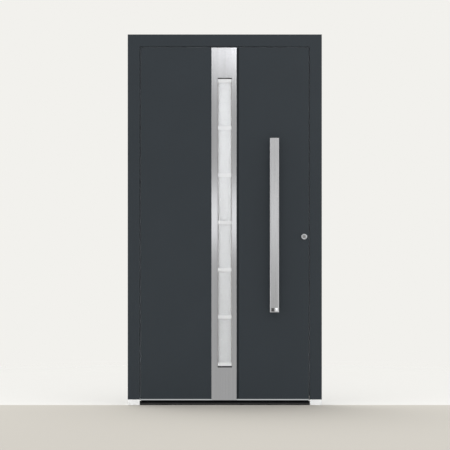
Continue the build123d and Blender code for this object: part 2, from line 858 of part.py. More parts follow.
# Barrel hinges: each half is a wing, a web and its knuckles about the pin
hinge_y = back_y + hinge_stand
hinge_height = leaf_knuckle + 2 * (frame_knuckle + knuckle_gap)
wing_halves = (
    ("frame", -1, ((-hinge_height / 2, frame_knuckle), (hinge_height / 2 - frame_knuckle, frame_knuckle))),
    ("leaf", 1, ((-leaf_knuckle / 2, leaf_knuckle),)),
)
for half_name, side, knuckles in wing_halves:
    with BuildPart() as hinge_half:
        wing_near = hinge_axis_x + side * wing_offset
        wing_far = wing_near + side * wing_width
        web_far = wing_near + side * web_thickness / 2
        with BuildSketch(at_depth(back_y + wing_thickness)):
            for z in hinge_heights:
                with Locations(((wing_near + wing_far) / 2, z)):
                    Rectangle(wing_width, hinge_height)
            chamfer(vertices(), wing_corner)
        extrude(amount=wing_thickness)
        for z in hinge_heights:
            for start, length in knuckles:
                with BuildSketch(Plane.XY.offset(z + start)):
                    with Locations((hinge_axis_x, hinge_y)):
                        Circle(barrel_diameter / 2)
                    span(*sorted((hinge_axis_x, web_far)), back_y + wing_thickness, hinge_y)
                    span(*sorted((wing_near, web_far)), back_y, hinge_y)
                    with Locations((hinge_axis_x, hinge_y)):
                        Circle(pin_diameter / 2 + pin_running_clearance, mode=Mode.SUBTRACT)
                extrude(amount=length)
    save(hinge_half.part, f"hinge_{half_name}_halves")

with BuildPart() as hinge_pins:
    for z in hinge_heights:
        with BuildSketch(Plane.XY.offset(z - hinge_height / 2)):
            with Locations((hinge_axis_x, hinge_y)):
                Circle(pin_diameter / 2)
        extrude(amount=hinge_height)
        with BuildSketch(Plane.XY.offset(z + hinge_height / 2)):
            with Locations((hinge_axis_x, hinge_y)):
                Circle(barrel_diameter / 2)
        extrude(amount=pin_head)
save(hinge_pins.part, "hinge_pins")
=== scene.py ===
"""Looks of an aluminium entrance door: finishes, small hardware, studio light and camera.

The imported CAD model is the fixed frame. Each class below stands for one sub-assembly of the
door. It holds sizes in metres, dresses the nodes that belong to it, softens their edges and
adds the screws, caps, inlays and brushes that go with them.
"""

import json
import logging
import math
from collections.abc import Iterable, Sequence
from dataclasses import dataclass
from enum import Enum
from typing import ClassVar

import bmesh
import bpy
from mathutils import Matrix, Vector


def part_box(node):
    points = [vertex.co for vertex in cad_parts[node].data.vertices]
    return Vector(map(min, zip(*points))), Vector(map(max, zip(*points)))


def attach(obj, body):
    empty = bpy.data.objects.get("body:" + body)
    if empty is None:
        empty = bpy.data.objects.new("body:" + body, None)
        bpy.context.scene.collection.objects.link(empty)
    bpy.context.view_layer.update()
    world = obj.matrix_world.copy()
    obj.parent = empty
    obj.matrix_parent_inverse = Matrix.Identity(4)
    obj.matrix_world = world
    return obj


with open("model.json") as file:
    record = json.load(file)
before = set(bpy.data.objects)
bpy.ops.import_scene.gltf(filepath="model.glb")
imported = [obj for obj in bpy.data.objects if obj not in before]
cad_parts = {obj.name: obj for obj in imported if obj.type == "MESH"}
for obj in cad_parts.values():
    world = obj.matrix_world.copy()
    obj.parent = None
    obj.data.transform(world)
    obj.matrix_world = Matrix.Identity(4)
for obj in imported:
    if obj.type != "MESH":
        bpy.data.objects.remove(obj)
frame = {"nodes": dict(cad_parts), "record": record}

Colour = tuple[float, float, float]
Point = tuple[float, float, float]
Ring = list[bmesh.types.BMVert]

log = logging.getLogger("entrance_door")


class Body(Enum):
    """Bodies of the door that carry small hardware."""

    FRAME = "frame"
    LEAF = "leaf"


class Grain(Enum):
    """How the texture of a surface is stretched along X, Y and Z."""

    EVEN = (1.0, 1.0, 1.0)
    UPRIGHT = (1.0, 1.0, 0.004)
    ACROSS = (0.01, 1.0, 1.0)


class Facing(Enum):
    """Direction in which a small piece faces."""

    ROOM = (0.0, 1.0, 0.0)
    HINGE_SIDE = (-1.0, 0.0, 0.0)
    LOCK_SIDE = (1.0, 0.0, 0.0)
    UP = (0.0, 0.0, 1.0)
    DOWN = (0.0, 0.0, -1.0)


class Reach(Enum):
    """What a lamp reaches: whether it lights surfaces, and whether mirrors show it."""

    ALL = (True, True)
    SURFACES = (True, False)
    MIRRORS = (False, True)


class Shader:
    """Node tree of one finish, with short calls that add and join its nodes.

    Attributes:
        noise_low: Grey value under which few points of a noise pattern lie.
        noise_high: Grey value above which few points of it lie.
    """

    noise_low: ClassVar[float] = 0.3
    noise_high: ClassVar[float] = 0.7

    def __init__(self, name: str) -> None:
        """Start a material that holds a surface shader and an output.

        Args:
            name: Name of the material.
        """
        self.material = bpy.data.materials.new(name)
        self.material.use_nodes = True
        self.tree = self.material.node_tree
        self.tree.nodes.clear()
        self.surface = self.add("ShaderNodeBsdfPrincipled")
        output = self.add("ShaderNodeOutputMaterial")
        self.join(self.surface.outputs["BSDF"], output.inputs["Surface"])
        self.place = self.add("ShaderNodeTexCoord").outputs["Object"]

    def add(self, kind: str) -> bpy.types.Node:
        """Add a node of the given kind and return it."""
        return self.tree.nodes.new(kind)

    def join(self, source: bpy.types.NodeSocket, target: bpy.types.NodeSocket) -> None:
        """Link one node's output to another node's input."""
        self.tree.links.new(source, target)

    def drive(self, socket: str, source: bpy.types.NodeSocket) -> None:
        """Link a pattern to one of the surface shader's own sockets."""
        self.join(source, self.surface.inputs[socket])

    def set(self, values: dict[str, float]) -> None:
        """Write constant values on the surface shader's own sockets.

        Args:
            values: Socket names and their values.
        """
        for name, value in values.items():
            self.surface.inputs[name].default_value = value

    def noise(self, size: float, grain: Grain, detail: float = 3.0) -> bpy.types.NodeSocket:
        """Add a noise pattern that stays with the piece.

        Args:
            size: Size of its patches in metres, across the grain.
            grain: Direction in which the patches are drawn out.
            detail: How many finer patterns lie on top.

        Returns:
            The pattern's grey value, about 0.5 on average.
        """
        mapping = self.add("ShaderNodeMapping")
        mapping.inputs["Scale"].default_value = [stretch / size for stretch in grain.value]
        self.join(self.place, mapping.inputs["Vector"])
        pattern = self.add("ShaderNodeTexNoise")
        pattern.inputs["Scale"].default_value = 1.0
        pattern.inputs["Detail"].default_value = detail
        self.join(mapping.outputs["Vector"], pattern.inputs["Vector"])
        return pattern.outputs["Fac"]

    def spread(
        self, value: bpy.types.NodeSocket, middle: float, reach: float
    ) -> bpy.types.NodeSocket:
        """Map a noise value from its usual range to another one.

        Args:
            value: Grey value of a noise pattern.
            middle: Mean of the results.
            reach: How far the results wander to each side.

        Returns:
            The mapped value.
        """
        ranged = self.add("ShaderNodeMapRange")
        ranged.inputs["From Min"].default_value = self.noise_low
        ranged.inputs["From Max"].default_value = self.noise_high
        ranged.inputs["To Min"].default_value = middle - reach
        ranged.inputs["To Max"].default_value = middle + reach
        self.join(value, ranged.inputs["Value"])
        return ranged.outputs["Result"]

    def tint(
        self, value: bpy.types.NodeSocket, dark: Colour, light: Colour
    ) -> bpy.types.NodeSocket:
        """Turn a grey value into a colour between two tones.

        Args:
            value: Grey value of a pattern.
            dark: Colour where the pattern is dark.
            light: Colour where the pattern is light.

        Returns:
            The mixed colour.
        """
        ramp = self.add("ShaderNodeValToRGB")
        first, last = ramp.color_ramp.elements
        first.position = self.noise_low
        last.position = self.noise_high
        first.color = (*dark, 1.0)
        last.color = (*light, 1.0)
        self.join(value, ramp.inputs["Fac"])
        return ramp.outputs["Color"]

    def speckle(
        self, colour: bpy.types.NodeSocket, value: bpy.types.NodeSocket, reach: float
    ) -> bpy.types.NodeSocket:
        """Lighten and darken a colour by a fine pattern.

        Args:
            colour: Colour to work on.
            value: Grey value of the fine pattern.
            reach: Share of the colour by which it wanders to each side.

        Returns:
            The speckled colour.
        """
        scaled = self.add("ShaderNodeVectorMath")
        scaled.operation = "SCALE"
        self.join(colour, scaled.inputs["Vector"])
        self.join(self.spread(value, 1.0, reach), scaled.inputs["Scale"])
        return scaled.outputs["Vector"]

    def relief(self, heights: Iterable[tuple[bpy.types.NodeSocket, float]]) -> None:
        """Give the surface a fine relief from one or more patterns.

        Args:
            heights: Pairs of a grey value and the height in metres that it stands for.
        """
        below = None
        for value, height in heights:
            bump = self.add("ShaderNodeBump")
            bump.inputs["Strength"].default_value = 1.0
            bump.inputs["Distance"].default_value = height
            self.join(value, bump.inputs["Height"])
            if below is not None:
                self.join(below.outputs["Normal"], bump.inputs["Normal"])
            below = bump
        self.drive("Normal", below.outputs["Normal"])


@dataclass(frozen=True)
class Finish:
    """Surface whose colour and gloss drift slightly over a fine relief.

    Attributes:
        name: Name of the material.
        colour: Mean colour, linear.
        roughness: Mean roughness.
        gloss_drift: How far the roughness wanders to each side.
        drift: Share of the colour by which it wanders to each side.
        patch: Size in metres of the patches in which it wanders.
        grain: Direction in which patches and relief are drawn out.
        relief_size: Size in metres of the fine relief.
        relief_height: Height in metres of the fine relief.
        metallic: Share of bare metal.
        specular: Level of the clear reflection of a surface that isn't metal.
        anisotropy: How far reflections are drawn out across the grain.
    """

    name: str
    colour: Colour
    roughness: float
    gloss_drift: float = 0.05
    drift: float = 0.05
    patch: float = 0.06
    grain: Grain = Grain.EVEN
    relief_size: float = 0.0008
    relief_height: float = 0.00002
    metallic: float = 0.0
    specular: float = 0.4
    anisotropy: float = 0.0

    def tones(self) -> tuple[Colour, Colour]:
        """Work out how far the colour wanders.

        Returns:
            The darkest and the lightest tone.
        """
        dark = tuple(part * (1.0 - self.drift) for part in self.colour)
        light = tuple(part * (1.0 + self.drift) for part in self.colour)
        return dark, light

    def constants(self) -> dict[str, float]:
        """Return the socket values that are the same all over the surface."""
        return {
            "Metallic": self.metallic,
            "Specular IOR Level": self.specular,
            "Anisotropic": self.anisotropy,
        }

    def dress(self, shader: Shader) -> None:
        """Set the shader's sockets and add the patterns of this finish.

        Args:
            shader: Node tree to work on.
        """
        shader.set(self.constants())
        patches = shader.noise(self.patch, self.grain)
        fine = shader.noise(self.relief_size, self.grain)
        shader.drive("Base Color", shader.tint(patches, *self.tones()))
        shader.drive("Roughness", shader.spread(fine, self.roughness, self.gloss_drift))
        shader.relief([(fine, self.relief_height)])

    def material(self) -> bpy.types.Material:
        """Build the material of this finish.

        Returns:
            The new material.
        """
        shader = Shader(self.name)
        self.dress(shader)
        return shader.material


@dataclass(frozen=True)
class PowderCoat(Finish):
    """Baked coating with a fine, speckled grain over soft, long waves.

    Attributes:
        speckle: Share of the colour by which single grains are lighter or darker.
        wave_size: Size in metres of the soft waves left by baking.
        wave_height: Height in metres of those waves.
    """

    speckle: float = 0.25
    wave_size: float = 0.004
    wave_height: float = 0.00002

    def dress(self, shader: Shader) -> None:
        """Set the sockets and lay the speckled grain over the waves.

        Args:
            shader: Node tree to work on.
        """
        shader.set(self.constants())
        patches = shader.noise(self.patch, self.grain)
        waves = shader.noise(self.wave_size, self.grain, detail=1.0)
        fine = shader.noise(self.relief_size, self.grain)
        coat = shader.tint(patches, *self.tones())
        shader.drive("Base Color", shader.speckle(coat, fine, self.speckle))
        shader.drive("Roughness", shader.spread(fine, self.roughness, self.gloss_drift))
        shader.relief([(waves, self.wave_height), (fine, self.relief_height)])


@dataclass(frozen=True)
class BrushedMetal(Finish):
    """Metal with scratches in one direction: broad streaks over fine ones.

    Attributes:
        streak: Width in metres of the broad streaks, which carry colour and gloss.
    """

    streak: float = 0.004

    def dress(self, shader: Shader) -> None:
        """Set the sockets and draw the streaks and the fine scratches.

        Args:
            shader: Node tree to work on.
        """
        shader.set(self.constants())
        streaks = shader.noise(self.streak, self.grain, detail=5.0)
        fine = shader.noise(self.relief_size, self.grain)
        shader.drive("Base Color", shader.tint(streaks, *self.tones()))
        shader.drive("Roughness", shader.spread(streaks, self.roughness, self.gloss_drift))
        shader.relief([(fine, self.relief_height)])


@dataclass(frozen=True)
class ClearGlass(Finish):
    """Float glass: see-through, with a clear reflection.

    Attributes:
        cover: Share of the light that the glass itself shows.
    """

    cover: float = 0.05

    def constants(self) -> dict[str, float]:
        """Return the socket values, with the glass see-through."""
        return {**super().constants(), "Alpha": self.cover}


@dataclass(frozen=True)
class SatinGlass(Finish):
    """Etched glass that lets light through and hides what is behind.

    Attributes:
        through: Share of the light that passes.
        bending: How strongly the glass bends light.
    """

    through: float = 0.5
    bending: float = 1.45

    def constants(self) -> dict[str, float]:
        """Return the socket values, with part of the light passing."""
        return {**super().constants(), "Transmission Weight": self.through, "IOR": self.bending}


ANTHRACITE = PowderCoat(
    "anthracite_powder_coat",
    colour=(0.0274, 0.0350, 0.0425),
    roughness=0.58,
    gloss_drift=0.06,
    drift=0.03,
    patch=0.25,
    relief_size=0.0009,
    relief_height=0.00003,
    specular=0.18,
)
# Grey of the leaf's edge profiles. Part of its lightness is painted light: it brightens the
# shaded gaps round the leaf so that they look faint.
LIGHTENED_EDGE_COMPOSITE = Finish(
    "grey_edge_composite_painted_gap_light",
    colour=(0.285, 0.320, 0.350),
    roughness=0.62,
    relief_size=0.002,
    specular=0.3,
)
BREAK_PLASTIC = Finish(
    "black_fibre_plastic",
    colour=(0.011, 0.011, 0.012),
    roughness=0.55,
    drift=0.15,
    patch=0.02,
    specular=0.3,
)
THRESHOLD_PLASTIC = Finish(
    "black_threshold_plastic",
    colour=(0.0045, 0.0045, 0.005),
    roughness=0.6,
    drift=0.15,
    specular=0.02,
)
INSERT_PLASTIC = Finish(
    "grey_insert_plastic",
    colour=(0.024, 0.024, 0.025),
    roughness=0.5,
    drift=0.1,
    specular=0.2,
)
FOOT_PLASTIC = Finish(
    "white_foot_plastic",
    colour=(0.92, 0.93, 0.94),
    roughness=0.45,
    drift=0.02,
    relief_size=0.0015,
)
SEAL_RUBBER = Finish(
    "black_seal_rubber",
    colour=(0.009, 0.009, 0.009),
    roughness=0.7,
    drift=0.2,
    patch=0.01,
    specular=0.25,
)
BRISTLE = Finish(
    "black_bristle",
    colour=(0.006, 0.006, 0.006),
    roughness=0.8,
    drift=0.3,
    patch=0.004,
    specular=0.1,
)
FOAM = Finish(
    "rigid_foam",
    colour=(0.72, 0.66, 0.46),
    roughness=0.9,
    relief_size=0.0015,
    relief_height=0.0003,
)
PAD_FOAM = Finish(
    "white_pad_foam",
    colour=(0.82, 0.82, 0.81),
    roughness=0.9,
    relief_size=0.0010,
    relief_height=0.0002,
)
BARE_ALUMINIUM = BrushedMetal(
    "bare_aluminium",
    colour=(0.445, 0.465, 0.485),
    roughness=0.42,
    metallic=1.0,
    grain=Grain.ACROSS,
    streak=0.002,
)
STRIP_STEEL = BrushedMetal(
    "brushed_strip_steel",
    colour=(0.366, 0.370, 0.387),
    roughness=0.20,
    gloss_drift=0.02,
    drift=0.04,
    grain=Grain.UPRIGHT,
    metallic=1.0,
    relief_size=0.0005,
    relief_height=0.000001,
    anisotropy=0.85,
)
PULL_STEEL = BrushedMetal(
    "brushed_pull_steel",
    colour=(0.368, 0.371, 0.386),
    roughness=0.28,
    gloss_drift=0.02,
    drift=0.04,
    grain=Grain.UPRIGHT,
    metallic=1.0,
    streak=0.002,
    relief_size=0.0005,
    relief_height=0.000001,
    anisotropy=0.6,
)
SATIN_STEEL = Finish(
    "satin_steel",
    colour=(0.42, 0.43, 0.45),
    roughness=0.28,
    metallic=1.0,
    drift=0.03,
    patch=0.004,
    relief_size=0.0004,
    relief_height=0.000002,
)
ROSE_STEEL = Finish(
    "satin_rose_steel",
    colour=(0.38, 0.39, 0.41),
    roughness=0.26,
    metallic=1.0,
    drift=0.03,
    patch=0.004,
    relief_size=0.0004,
    relief_height=0.000002,
)
# Bright polished steel. On the plate in the pull's foot its light colour is partly a painted
# highlight.
POLISHED_STEEL = Finish(
    "polished_steel",
    colour=(0.78, 0.79, 0.82),
    roughness=0.22,
    gloss_drift=0.03,
    metallic=1.0,
    drift=0.02,
    relief_height=0.0000005,
)
# Metal of the key plug, made far darker than plated metal: painted shade of the keyway in the
# middle of the lock.
PLUG_METAL_PAINTED_SHADE = Finish(
    "plug_metal_painted_keyway_shade",
    colour=(0.20, 0.20, 0.20),
    roughness=0.28,
    metallic=1.0,
    patch=0.002,
)
# Near-black window for the recess in the pull's foot: painted shade of that recess.
FOOT_LENS_PAINTED_SHADE = Finish(
    "foot_lens_painted_shade",
    colour=(0.052, 0.052, 0.053),
    roughness=0.16,
    gloss_drift=0.02,
    drift=0.05,
    patch=0.003,
)
CLEAR_GLASS = ClearGlass(
    "clear_float_glass",
    colour=(0.80, 0.86, 0.84),
    roughness=0.05,
    gloss_drift=0.01,
    drift=0.02,
    relief_size=0.05,
    relief_height=0.000005,
)
FROSTED_GLASS = SatinGlass(
    "frosted_glass",
    colour=(0.831, 0.841, 0.866),
    roughness=0.55,
    drift=0.02,
    patch=0.02,
    relief_height=0.00001,
)
BAND_GLASS = SatinGlass(
    "bright_band_glass",
    colour=(0.93, 0.94, 0.96),
    roughness=0.5,
    drift=0.015,
    patch=0.01,
    through=0.25,
)
SPACER_METAL = Finish(
    "grey_spacer_metal",
    colour=(0.55, 0.55, 0.55),
    roughness=0.5,
    drift=0.03,
    metallic=0.3,
)

SLOT_FINISHES: dict[str, Finish] = {
    "anthracite_coating": ANTHRACITE,
    "break_plastic": BREAK_PLASTIC,
    "threshold_plastic": THRESHOLD_PLASTIC,
    "insert_plastic": INSERT_PLASTIC,
    "foot_plastic": FOOT_PLASTIC,
    "seal_rubber": SEAL_RUBBER,
    "edge_composite": LIGHTENED_EDGE_COMPOSITE,
    "foam": FOAM,
    "bare_aluminium": BARE_ALUMINIUM,
    "brushed_steel": STRIP_STEEL,
    "polished_steel": POLISHED_STEEL,
    "satin_steel": SATIN_STEEL,
    "plug_brass": PLUG_METAL_PAINTED_SHADE,
    "clear_glass": CLEAR_GLASS,
    "frosted_glass": FROSTED_GLASS,
    "band_glass": BAND_GLASS,
    "spacer_metal": SPACER_METAL,
    "pad_foam": PAD_FOAM,
}
NODE_SLOTS: dict[str, str] = {
    row["node"]: row["material_slot"] for row in frame["record"]["subparts"]
}


class Wardrobe:
    """Materials that have been built, each made once and shared by its pieces."""

    def __init__(self) -> None:
        """Start with no material built."""
        self.made: dict[str, bpy.types.Material] = {}

    def material(self, finish: Finish) -> bpy.types.Material:
        """Find the material of a finish, and build it at its first use.

        Args:
            finish: Finish to look up.

        Returns:
            Its material.
        """
        if finish.name not in self.made:
            self.made[finish.name] = finish.material()
        return self.made[finish.name]

    def dress(self, piece: bpy.types.Object, finish: Finish) -> None:
        """Give a piece one finish all over.

        Args:
            piece: Mesh object to dress.
            finish: Finish that it gets.
        """
        piece.data.materials.clear()
        piece.data.materials.append(self.material(finish))
        log.info("%s dressed in %s", piece.name, finish.name)


class Turning:
    """Mesh of one or more pieces that are made ring by ring about an axis."""

    smooth_angle: ClassVar[float] = math.radians(35.0)

    def __init__(self, name: str, sides: int = 36) -> None:
        """Start an empty mesh.

        Args:
            name: Name of the piece.
            sides: Points in each ring.
        """
        self.name = name
        self.sides = sides
        self.shape = bmesh.new()
        self.axis = Matrix.Identity(4)

    def move(self, middle: Point | Vector, facing: Facing) -> None:
        """Put the axis of the next rings at a place, facing one way.

        Args:
            middle: Foot of the axis.
            facing: Direction in which heights are counted.
        """
        turn = Vector(facing.value).to_track_quat("Z", "Y").to_matrix().to_4x4()
        self.axis = Matrix.Translation(middle) @ turn

    def ring(self, radius: float, height: float, lobes: int = 0, lobe: float = 0.0) -> Ring:
        """Add one ring of points.

        Args:
            radius: Mean distance from the axis.
            height: Distance along the axis.
            lobes: Number of lobes in a socket's outline.
            lobe: Share of the radius by which the lobes stand out.

        Returns:
            The ring's points.
        """
        points = []
        for step in range(self.sides):
            angle = math.tau * step / self.sides
            reach = radius * (1.0 + lobe * math.cos(lobes * angle))
            spot = Vector((reach * math.cos(angle), reach * math.sin(angle), height))
            points.append(self.shape.verts.new(self.axis @ spot))
        return points

    def wall(self, first: Ring, second: Ring) -> None:
        """Close the surface between two rings.

        Args:
            first: Ring at one side.
            second: Ring at the other side, with as many points.
        """
        for step in range(self.sides):
            after = (step + 1) % self.sides
            self.shape.faces.new((first[step], first[after], second[after], second[step]))

    def cap(self, ring: Ring) -> None:
        """Close a ring with a flat face."""
        self.shape.faces.new(ring)

    def turn(self, profile: Sequence[tuple[float, float]], closed: bool = False) -> list[Ring]:
        """Turn a profile round the axis.

        Args:
            profile: Pairs of a radius and a height.
            closed: Whether the last point joins the first one.

        Returns:
            The rings, one for each point of the profile.
        """
        rings = [self.ring(radius, height) for radius, height in profile]
        for first, second in zip(rings, rings[1:]):
            self.wall(first, second)
        if closed:
            self.wall(rings[-1], rings[0])
        return rings

    def finished(self) -> bpy.types.Object:
        """Turn the mesh into an object with smooth round sides.

        Returns:
            The new object, linked to the scene.
        """
        bmesh.ops.recalc_face_normals(self.shape, faces=self.shape.faces[:])
        mesh = bpy.data.meshes.new(self.name)
        self.shape.to_mesh(mesh)
        self.shape.free()
        mesh.shade_smooth()
        mesh.set_sharp_from_angle(angle=self.smooth_angle)
        piece = bpy.data.objects.new(self.name, mesh)
        bpy.context.scene.collection.objects.link(piece)
        return piece


def quarter_angles(steps: int) -> list[float]:
    """Return even angles from nothing to a quarter turn, one more than the steps."""
    return [math.pi / 2 * step / steps for step in range(steps + 1)]


@dataclass(frozen=True)
class Screw:
    """Screw head with a domed edge and a lobed socket.

    Attributes:
        radius: Radius of the head.
        height: How far the head stands proud.
        socket: Mean radius of the socket.
        socket_depth: Depth of the socket.
        lobes: Number of the socket's lobes.
        lobe: Share of the socket's radius by which the lobes stand out.
        crown: Share of the head's radius that the socket's flat takes up.
        steps: Rings in the domed edge.
    """

    radius: float
    height: float
    socket: float
    socket_depth: float
    lobes: int = 6
    lobe: float = 0.14
    crown: float = 0.62
    steps: int = 5

    def add_to(self, turning: Turning, middle: Point | Vector, facing: Facing) -> None:
        """Add this head to a mesh.

        Args:
            turning: Mesh that gets the head.
            middle: Where the screw's axis meets the surface that carries it.
            facing: Direction in which the head faces.
        """
        turning.move(middle, facing)
        flat = self.radius * self.crown
        profile = []
        for angle in quarter_angles(self.steps):
            reach = flat + (self.radius - flat) * math.cos(angle)
            profile.append((reach, self.height * math.sin(angle)))
        rings = turning.turn(profile)
        mouth = turning.ring(self.socket, self.height, self.lobes, self.lobe)
        floor = turning.ring(
            self.socket, self.height - self.socket_depth, self.lobes, self.lobe
        )
        turning.cap(rings[0])
        turning.wall(rings[-1], mouth)
        turning.wall(mouth, floor)
        turning.cap(floor)


PLATE_SCREW = Screw(radius=0.0040, height=0.0009, socket=0.0017, socket_depth=0.0007)
WING_SCREW = Screw(radius=0.0048, height=0.0023, socket=0.0023, socket_depth=0.0018)


@dataclass(frozen=True)
class Inlay:
    """Small plate with rounded corners and a rounded rim, let into a recess.

    Attributes:
        width: Its level side.
        height: Its upright side.
        corner: Radius of its corners.
        depth: Its thickness.
        rim: Radius of the rounded rim.
        corner_steps: Points in each corner, less one.
        rim_steps: Rings in the rounded rim.
    """

    width: float
    height: float
    corner: float
    depth: float
    rim: float
    corner_steps: int = 5
    rim_steps: int = 4

    def outline(self, inset: float) -> list[tuple[float, float]]:
        """Return the plate's outline about its middle, drawn in by an inset.

        Args:
            inset: Distance from the full outline.

        Returns:
            Points of the outline, across and up.
        """
        points = []
        middles = ((1, 1), (-1, 1), (-1, -1), (1, -1))
        for quarter, (right, up) in enumerate(middles):
            across = right * (self.width / 2 - self.corner)
            above = up * (self.height / 2 - self.corner)
            for step in range(self.corner_steps + 1):
                angle = math.pi / 2 * (quarter + step / self.corner_steps)
                reach = self.corner - inset
                points.append((across + reach * math.cos(angle), above + reach * math.sin(angle)))
        return points

    def build(self, name: str, middle: Vector) -> bpy.types.Object:
        """Build the plate with its face looking outside.

        Args:
            name: Name of the piece.
            middle: Middle of the plate's face.

        Returns:
            The plate.
        """
        turning = Turning(name, sides=4 * (self.corner_steps + 1))
        levels = [(0.0, self.depth)]
        for angle in quarter_angles(self.rim_steps):
            levels.append((self.rim * (1 - math.cos(angle)), self.rim * (1 - math.sin(angle))))
        rings = []
        for inset, behind in levels:
            spots = [middle + Vector((x, behind, z)) for x, z in self.outline(inset)]
            rings.append([turning.shape.verts.new(spot) for spot in spots])
        for first, second in zip(rings, rings[1:]):
            turning.wall(first, second)
        turning.cap(rings[0])
        turning.cap(rings[-1])
        return turning.finished()


@dataclass(frozen=True)
class SubAssembly:
    """Pieces of the door that are dressed and completed together.

    Attributes:
        wardrobe: Materials that all pieces share.
        edge_angle: Angle from which an edge counts as sharp.
        edge_segments: Facets of a softened edge.
        weld_reach: Distance within which points of a node's faces are joined.
    """

    wardrobe: Wardrobe
    edge_angle: float = math.radians(40.0)
    edge_segments: int = 2
    weld_reach: float = 0.000001

    nodes: ClassVar[tuple[str, ...]] = ()
    finishes: ClassVar[dict[str, Finish]] = {}
    soft_edges: ClassVar[dict[str, float]] = {}

    def dress(self) -> None:
        """Dress each node in the finish of its slot, or in one of its own."""
        for node in self.nodes:
            finish = self.finishes.get(node, SLOT_FINISHES[NODE_SLOTS[node]])
            self.wardrobe.dress(frame["nodes"][node], finish)

    def soften(self) -> None:
        """Round the sharp edges of some nodes, each by its own width."""
        for node, width in self.soft_edges.items():
            piece = frame["nodes"][node]
            weld = piece.modifiers.new("joined_faces", "WELD")
            weld.merge_threshold = self.weld_reach
            bevel = piece.modifiers.new("soft_edges", "BEVEL")
            bevel.width = width
            bevel.segments = self.edge_segments
            bevel.limit_method = "ANGLE"
            bevel.angle_limit = self.edge_angle
            bevel.harden_normals = True
            log.info("%s softened", node)

    def add(self, piece: bpy.types.Object, body: Body, slot: str, finish: Finish) -> None:
        """Make a new piece part of the door.

        Args:
            piece: The piece, in its place.
            body: Body that carries it.
            slot: Material slot that its finish belongs to; not used.
            finish: Its finish.
        """
        self.wardrobe.dress(piece, finish)
        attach(piece, body.value)

    def add_hardware(self) -> None:
        """Add small hardware, of which a plain sub-assembly has none."""

    def build(self) -> None:
        """Dress, soften and complete the sub-assembly."""
        self.dress()
        self.soften()
        self.add_hardware()
        log.info("%s built", type(self).__name__)


@dataclass(frozen=True)
class DoorFrame(SubAssembly):
    """Jambs, head, feet, threshold and the plates that receive the bolts.

    Attributes:
        screw: Screws that hold the strike plates.
        strike_reach: Distance from a bolt's middle to the end of its strike plate.
        screw_inset: Distance of a screw from the end of its plate.
    """

    screw: Screw = PLATE_SCREW
    strike_reach: float = 0.054
    screw_inset: float = 0.010

    nodes: ClassVar[tuple[str, ...]] = (
        "hinge_jamb_outer_shell",
        "hinge_jamb_inner_shell",
        "hinge_jamb_thermal_break",
        "lock_jamb_outer_shell",
        "lock_jamb_inner_shell",
        "lock_jamb_thermal_break",
        "head_outer_shell",
        "head_inner_shell",
        "head_thermal_break",
        "hinge_jamb_foot",
        "lock_jamb_foot",
        "threshold",
        "threshold_insert",
        "frame_gasket",
        "strike_plates",
    )
    soft_edges: ClassVar[dict[str, float]] = {
        "hinge_jamb_outer_shell": 0.0004,
        "hinge_jamb_inner_shell": 0.0004,
        "lock_jamb_outer_shell": 0.0004,
        "lock_jamb_inner_shell": 0.0004,
        "head_outer_shell": 0.0004,
        "head_inner_shell": 0.0004,
        "threshold": 0.0008,
        "threshold_insert": 0.0004,
        "hinge_jamb_foot": 0.0012,
        "lock_jamb_foot": 0.0012,
        "strike_plates": 0.0003,
    }

    def add_hardware(self) -> None:
        """Screw the strike plates to the lock jamb."""
        low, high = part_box("strike_plates")
        lock_low, lock_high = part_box("outer_rose")
        lever_low, lever_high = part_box("lever_rose")
        lock_z = (lock_low.z + lock_high.z) / 2
        lever_z = (lever_low.z + lever_high.z) / 2
        plates = (
            (low.z, low.z + 2 * self.strike_reach),
            (lock_z - self.strike_reach, lever_z + self.strike_reach),
            (high.z - 2 * self.strike_reach, high.z),
        )
        turning = Turning("strike_screws")
        for bottom, top in plates:
            for z in (bottom + self.screw_inset, top - self.screw_inset):
                spot = (low.x, (low.y + high.y) / 2, z)
                self.screw.add_to(turning, spot, Facing.HINGE_SIDE)
        self.add(turning.finished(), Body.FRAME, "satin_steel", SATIN_STEEL)


@dataclass(frozen=True)
class Leaf(SubAssembly):
    """Stiles, rails, skins, steel strip and the seals of the leaf.

    Attributes:
        tuft_pitch: Distance between the tufts of the brush under the leaf.
        tuft_root: Radius of a tuft at its root.
        tuft_tip: Radius of a tuft at its tip.
        tuft_clearance: Distance of the tips from the threshold.
        brush_depth: Depth at which the brush stands.
    """

    tuft_pitch: float = 0.003
    tuft_root: float = 0.0012
    tuft_tip: float = 0.0019
    tuft_clearance: float = 0.0004
    brush_depth: float = 0.0

    nodes: ClassVar[tuple[str, ...]] = (
        "leaf_hinge_stile",
        "leaf_lock_stile",
        "leaf_top_rail",
        "leaf_bottom_rail",
        "insulation_core",
        "outer_skin",
        "inner_skin",
        "steel_strip",
        "drip_profile",
        "bottom_seal",
        "corner_seal_pad",
    )
    soft_edges: ClassVar[dict[str, float]] = {
        "outer_skin": 0.0004,
        "inner_skin": 0.0004,
        "steel_strip": 0.0003,
        "drip_profile": 0.0006,
        "leaf_hinge_stile": 0.0006,
        "leaf_lock_stile": 0.0006,
        "leaf_top_rail": 0.0006,
        "leaf_bottom_rail": 0.0006,
    }

    def add_hardware(self) -> None:
        """Set a row of bristle tufts between the sealing lips under the leaf."""
        low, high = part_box("bottom_seal")
        root_z = high.z
        length = root_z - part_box("threshold")[1].z - self.tuft_clearance
        count = round((high.x - low.x) / self.tuft_pitch)
        pitch = (high.x - low.x) / count
        turning = Turning("bottom_brush", sides=8)
        for step in range(count):
            spot = (low.x + (step + 0.5) * pitch, self.brush_depth, root_z)
            turning.move(spot, Facing.DOWN)
            rings = turning.turn(((self.tuft_root, 0.0), (self.tuft_tip, length)))
            turning.cap(rings[0])
            turning.cap(rings[-1])
        self.add(turning.finished(), Body.LEAF, "seal_rubber", BRISTLE)


